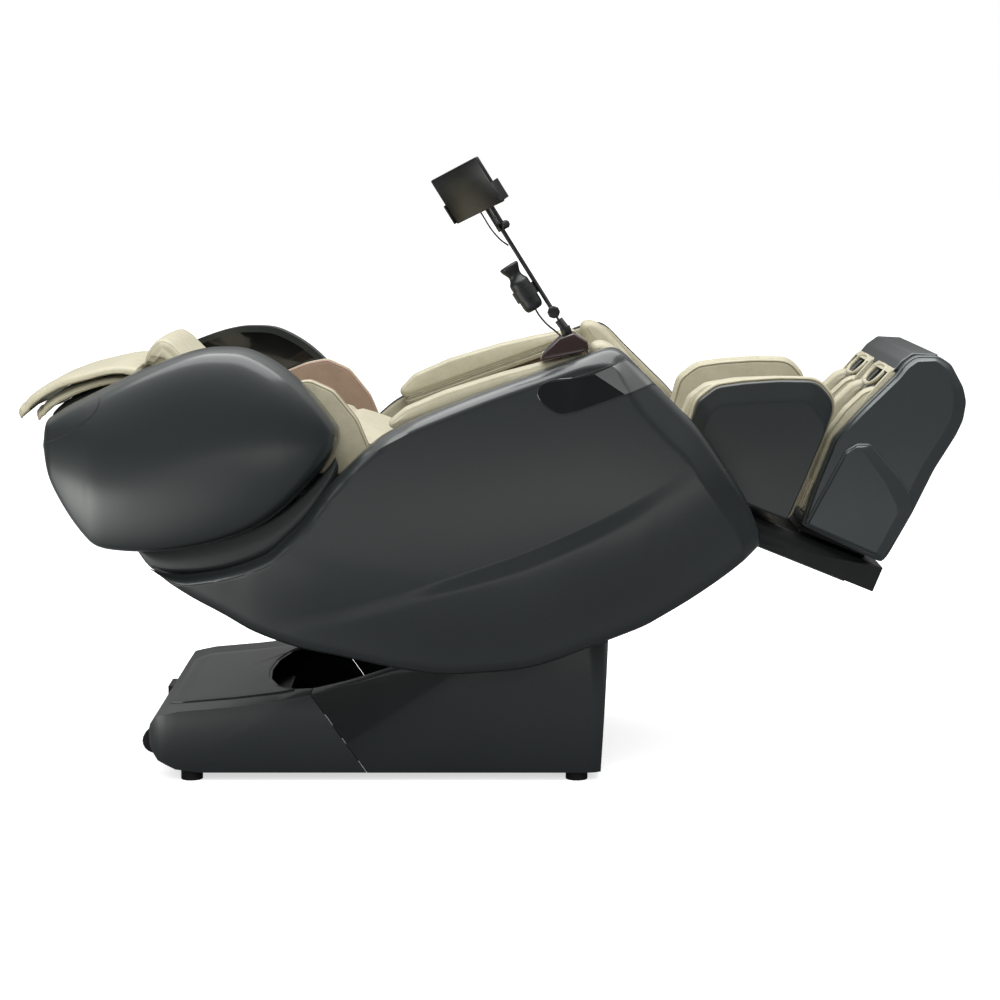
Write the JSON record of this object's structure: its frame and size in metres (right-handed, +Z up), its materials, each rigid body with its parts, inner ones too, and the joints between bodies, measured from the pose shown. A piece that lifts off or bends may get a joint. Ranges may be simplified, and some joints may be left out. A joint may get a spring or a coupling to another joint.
{
  "type": "reclining massage chair",
  "caption": "Reclining massage chair with gloss shell, wing-shaped head covers, padded arms, calf and foot massage unit and a tablet arm, laid back on a sliding base.",
  "frame": {"origin": "on the floor under the middle of the bounding box", "axes": "+X from the head towards the feet, +Y towards the sitter's left, +Z up"},
  "size_m": [2.0204, 0.89, 1.3176],
  "materials": {
    "graphite_gloss": "high-gloss painted shell in dark slate grey",
    "black_gloss": "high-gloss black window and screen",
    "ivory_leather": "ivory synthetic leather, fine grain, stitched",
    "taupe_leather": "taupe synthetic leather lining, quilted",
    "black_plastic": "fine-textured black moulding",
    "frame_steel": "powder-coated steel",
    "frame_alloy": "bead-blasted aluminium",
    "black_rubber": "solid black rubber",
    "smoked_gloss": "smoked brown gloss moulding"
  },
  "bodies": {
    "base": {"base_frame": "frame_steel", "base_rear_cover": "graphite_gloss", "base_front_cover": "graphite_gloss", "front_foot_right": "black_rubber", "front_foot_left": "black_rubber", "rear_foot_right": "black_rubber", "rear_foot_left": "black_rubber", "control_box": "black_plastic", "power_inlet": "black_plastic"},
    "power_switch": {"power_switch": "black_plastic"},
    "wheel_right": {"transport_wheel_right": "black_rubber"},
    "wheel_left": {"transport_wheel_left": "black_rubber"},
    "carriage": {"seat_carriage": "frame_steel"},
    "seat": {"side_panel_right": "graphite_gloss", "side_panel_left": "graphite_gloss", "rear_pan": "black_plastic", "belly_pan": "black_plastic", "badge_window_right": "black_gloss", "badge_window_left": "black_gloss", "seat_frame": "frame_steel", "seat_cushion": "taupe_leather", "arm_pad_right": "taupe_leather", "arm_pad_left": "taupe_leather", "arm_flap_right": "ivory_leather", "arm_flap_left": "ivory_leather", "arm_nose_right": "ivory_leather", "arm_nose_left": "ivory_leather", "arm_dock": "smoked_gloss"},
    "backrest": {"wing_shell_right": "graphite_gloss", "wing_shell_left": "graphite_gloss", "shoulder_pad_right": "ivory_leather", "shoulder_pad_left": "ivory_leather", "back_cover": "graphite_gloss", "hip_cover_right": "graphite_gloss", "hip_cover_left": "graphite_gloss", "back_frame": "frame_steel", "back_cushion": "taupe_leather", "head_pillow": "ivory_leather", "head_drape": "ivory_leather"},
    "massage_carriage": {"massage_carriage": "black_plastic"},
    "kneader": {"kneading_heads": "black_rubber"},
    "legrest": {"leg_frame": "frame_alloy", "calf_shell_right": "graphite_gloss", "calf_shell_left": "graphite_gloss", "calf_pad_right": "ivory_leather", "calf_pad_left": "ivory_leather", "calf_cushion": "taupe_leather"},
    "foot_unit": {"foot_shell": "graphite_gloss", "foot_lining_right": "ivory_leather", "foot_lining_left": "ivory_leather", "foot_sleeve": "black_plastic"},
    "sole_roller": {"sole_roller": "black_rubber"},
    "arm_post": {"arm_post": "black_plastic"},
    "arm_rod": {"arm_rod": "black_plastic"},
    "tablet": {"tablet_holder": "black_plastic", "tablet": "black_gloss", "tablet_lead": "black_plastic"},
    "handset": {"handset": "black_plastic", "handset_lead": "black_plastic"}
  },
  "joints": [
    {"name": "seat_slide", "type": "slide", "parent": "base", "child": "carriage", "axis": [1, 0, 0], "range_m": [-0.08, 0]},
    {"name": "seat_tilt", "type": "hinge", "parent": "carriage", "child": "seat", "pos_m": [-0.03854, 0, 0.225], "axis": [0, 1, 0], "range_deg": [0, 12]},
    {"name": "back_recline", "type": "hinge", "parent": "seat", "child": "backrest", "pos_m": [-0.10354, 0, 0.6], "axis": [0, 1, 0], "range_deg": [0, 35]},
    {"name": "massage_travel", "type": "slide", "parent": "backrest", "child": "massage_carriage", "axis": [0.9659, 0, -0.2588], "range_m": [-0.16, 0.15]},
    {"name": "kneader_spin", "type": "hinge", "parent": "massage_carriage", "child": "kneader", "pos_m": [-0.46128, 0, 0.67515], "axis": [0, 1, 0], "continuous": true},
    {"name": "leg_lift", "type": "hinge", "parent": "seat", "child": "legrest", "pos_m": [0.42146, 0, 0.68], "axis": [0, 1, 0], "range_deg": [-10, 35]},
    {"name": "foot_extend", "type": "slide", "parent": "legrest", "child": "foot_unit", "axis": [0.9272, 0, -0.3746], "range_m": [0, 0.12]},
    {"name": "sole_roller_spin", "type": "hinge", "parent": "foot_unit", "child": "sole_roller", "pos_m": [0.88355, 0, 0.59576], "axis": [0, 1, 0], "continuous": true},
    {"name": "arm_swivel", "type": "hinge", "parent": "seat", "child": "arm_post", "pos_m": [0.16206, -0.338, 0.9524], "axis": [-0.342, 0, 0.9397], "range_deg": [-35, 60]},
    {"name": "arm_fold", "type": "hinge", "parent": "arm_post", "child": "arm_rod", "pos_m": [0.13346, -0.338, 0.999], "axis": [0, 1, 0], "range_deg": [-20, 25]},
    {"name": "tablet_tilt", "type": "hinge", "parent": "arm_rod", "child": "tablet", "pos_m": [0.02346, -0.338, 1.174], "axis": [0.5103, -0.8179, 0.2657], "range_deg": [-20, 20], "deforming": ["tablet_lead"]},
    {"name": "handset_lift", "type": "slide", "parent": "arm_rod", "child": "handset", "axis": [-0.5322, 0, 0.8466], "range_m": [0, 0.07], "deforming": ["handset_lead"]},
    {"name": "power_rocker", "type": "hinge", "parent": "base", "child": "power_switch", "pos_m": [-0.72754, 0.093, 0.103], "axis": [0, 1, 0], "range_deg": [-8, 8]},
    {"name": "wheel_right_spin", "type": "hinge", "parent": "base", "child": "wheel_right", "pos_m": [-0.71654, -0.29, 0.078], "axis": [0, 1, 0], "continuous": true},
    {"name": "wheel_left_spin", "type": "hinge", "parent": "base", "child": "wheel_left", "pos_m": [-0.71654, 0.29, 0.078], "axis": [0, 1, 0], "continuous": true}
  ]
}
